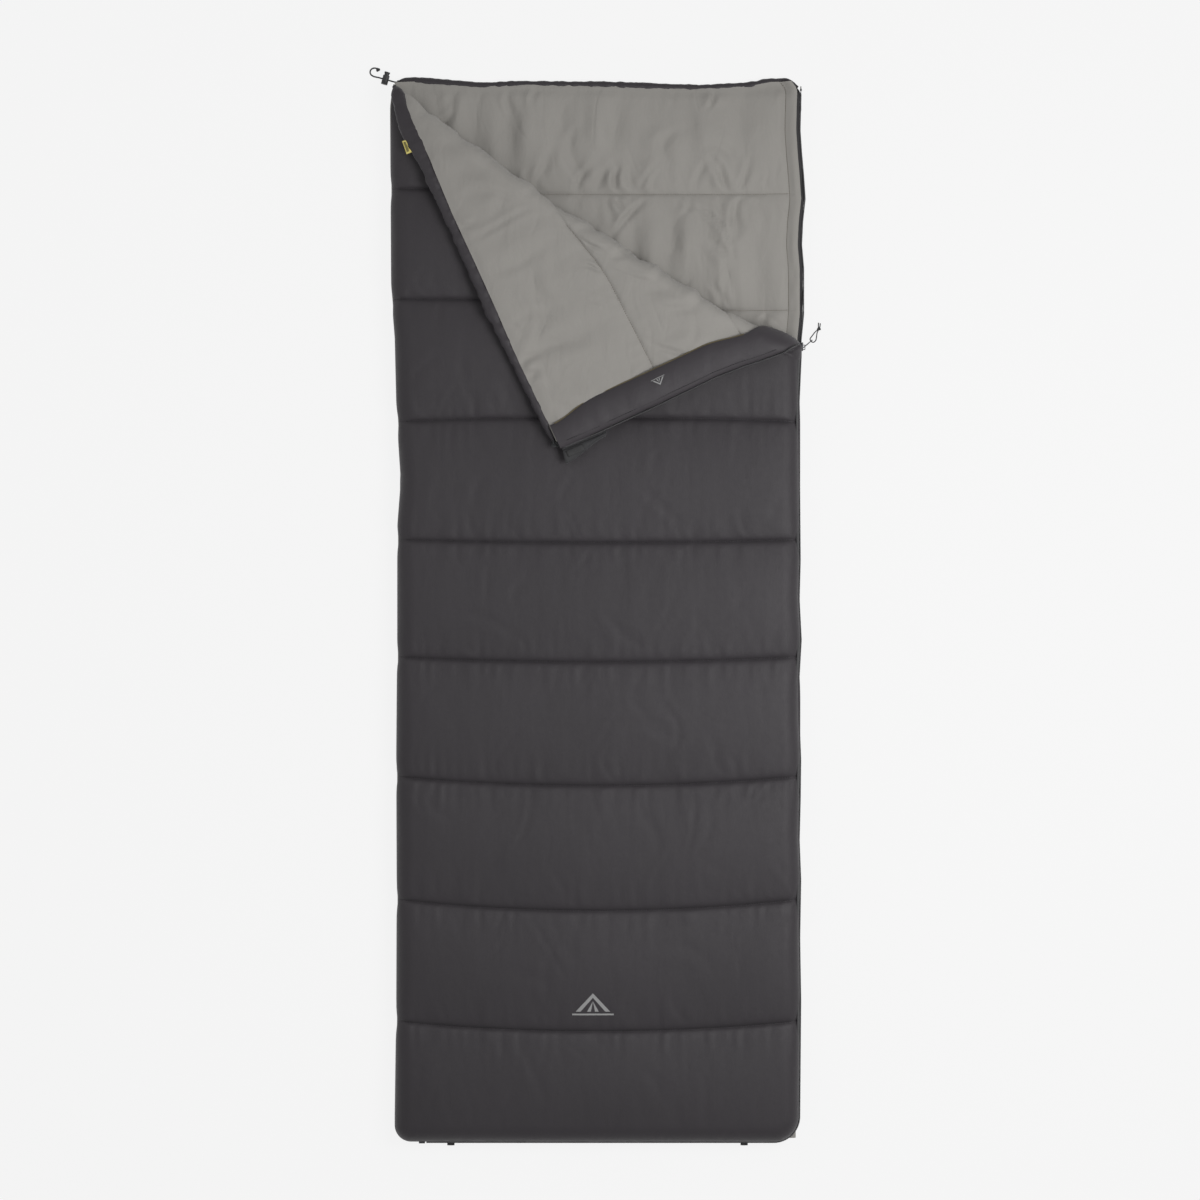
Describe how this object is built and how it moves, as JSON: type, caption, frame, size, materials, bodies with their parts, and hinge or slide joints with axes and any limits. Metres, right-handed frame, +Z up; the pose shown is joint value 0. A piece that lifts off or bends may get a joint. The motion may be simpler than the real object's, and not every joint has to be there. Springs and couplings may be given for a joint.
{
  "type": "rectangular sleeping bag",
  "caption": "Rectangular quilted sleeping bag with an L-shaped side and foot zip, folded-back head corner, draft tube, drawcord hem with cord lock, and foot hang loops.",
  "frame": {"origin": "centre of the flat underside, midway between the closed side and the zip and between head and foot, on the surface the bag lies on", "axes": "+Y towards the head end, +X towards the zipped side, +Z up out of the surface the bag lies on"},
  "size_m": [0.8944, 2.1336, 0.1072],
  "materials": {
    "shell": "matte",
    "lining": "matte",
    "insulation": "matte",
    "shell_thread": "matte",
    "lining_thread": "matte",
    "cord": "matte",
    "zip_tape": "matte",
    "zip_coil": "satin",
    "hook_and_loop": "matte",
    "webbing": "matte",
    "label": "matte",
    "slider_metal": "satin",
    "lock_plastic": "satin",
    "spring_steel": "satin"
  },
  "bodies": {
    "bag": {"bottom_shell": "shell", "bottom_insulation": "insulation", "bottom_lining": "lining", "bottom_quilting_thread": "lining_thread", "side_fold_shell": "shell", "side_fold_insulation": "insulation", "bottom_head_hem": "shell", "bottom_drawcord": "cord", "bottom_zip_tape": "zip_tape", "bottom_zip_coil": "zip_coil", "zip_facing": "lining", "bottom_zip_stop": "zip_coil", "zip_box": "zip_coil", "tab_loop_patch": "hook_and_loop", "drawcord_tail": "cord", "drawcord_knot": "cord"},
    "top_quilt": {"top_shell": "shell", "top_insulation": "insulation", "top_lining": "lining", "top_quilting_thread": "shell_thread", "top_zip_tape": "zip_tape", "top_zip_coil": "zip_coil", "draft_tube_cover": "shell", "draft_tube_filling": "insulation", "fold_roll_lining": "lining", "fold_roll_insulation": "insulation", "zip_pin": "zip_coil"},
    "flap": {"flap_shell": "shell", "flap_insulation": "insulation", "flap_lining": "lining", "flap_quilting_thread": "lining_thread", "flap_head_hem": "shell", "flap_drawcord": "cord", "flap_cord_end": "cord", "flap_zip_tape": "zip_tape", "flap_zip_coil": "zip_coil", "flap_draft_tube_cover": "shell", "flap_draft_tube_filling": "insulation", "flap_zip_stop": "zip_coil", "side_label": "label", "tab_root": "webbing"},
    "closing_tab": {"closing_tab": "webbing", "tab_hook_patch": "hook_and_loop"},
    "slider": {"slider_body": "slider_metal", "slider_crown": "slider_metal"},
    "pull": {"pull_tab": "slider_metal", "pull_cord": "cord", "pull_cord_knot": "cord"},
    "cord_lock": {"lock_barrel": "lock_plastic", "lock_spring": "spring_steel"},
    "lock_button": {"lock_button": "lock_plastic"},
    "hang_loop_left": {"hang_loop_left": "webbing"},
    "hang_loop_right": {"hang_loop_right": "webbing"}
  },
  "joints": [
    {"name": "top_quilt_opens", "type": "hinge", "parent": "bag", "child": "top_quilt", "pos_m": [-0.4004, 0, 0.033], "axis": [0, -1, 0], "range_deg": [0, 180], "deforming": ["side_fold_shell", "side_fold_insulation", "top_zip_tape", "top_zip_coil"]},
    {"name": "corner_folds_back", "type": "hinge", "parent": "top_quilt", "child": "flap", "pos_m": [-0.4, 1.046, 0.0664], "axis": [-0.8348, 0.5506, 0], "range_deg": [0, 180], "deforming": ["fold_roll_lining", "fold_roll_insulation", "flap_zip_tape", "flap_zip_coil"]},
    {"name": "zip_travel", "type": "slide", "parent": "bag", "child": "slider", "axis": [0, 1, 0], "range_m": [-1.46, 0.49]},
    {"name": "pull_tab_swings", "type": "hinge", "parent": "slider", "child": "pull", "pos_m": [0.4069, 0.516, 0.033], "axis": [0, 0, 1], "range_deg": [-130, 48], "deforming": ["pull_cord", "pull_cord_knot"]},
    {"name": "cord_lock_slides", "type": "slide", "parent": "bag", "child": "cord_lock", "axis": [-0.9632, 0.2689, 0], "range_m": [-0.014, 0.007]},
    {"name": "lock_button_press", "type": "slide", "parent": "cord_lock", "child": "lock_button", "axis": [-0.2689, -0.9632, 0], "range_m": [0, 0.004], "stiffness_N_per_m": 300, "springref_m": -0.002, "deforming": ["lock_spring"]},
    {"name": "closing_tab_folds", "type": "hinge", "parent": "flap", "child": "closing_tab", "pos_m": [-0.04884, 0.32013, 0.0868], "axis": [-0.9192, -0.3937, 0], "range_deg": [-35, 90]},
    {"name": "hang_loop_left_swings", "type": "hinge", "parent": "bag", "child": "hang_loop_left", "pos_m": [-0.29, -1.0478, 0.012], "axis": [-1, 0, 0], "range_deg": [-20, 40]},
    {"name": "hang_loop_right_swings", "type": "hinge", "parent": "bag", "child": "hang_loop_right", "pos_m": [0.29, -1.0478, 0.012], "axis": [-1, 0, 0], "range_deg": [-20, 40]}
  ]
}
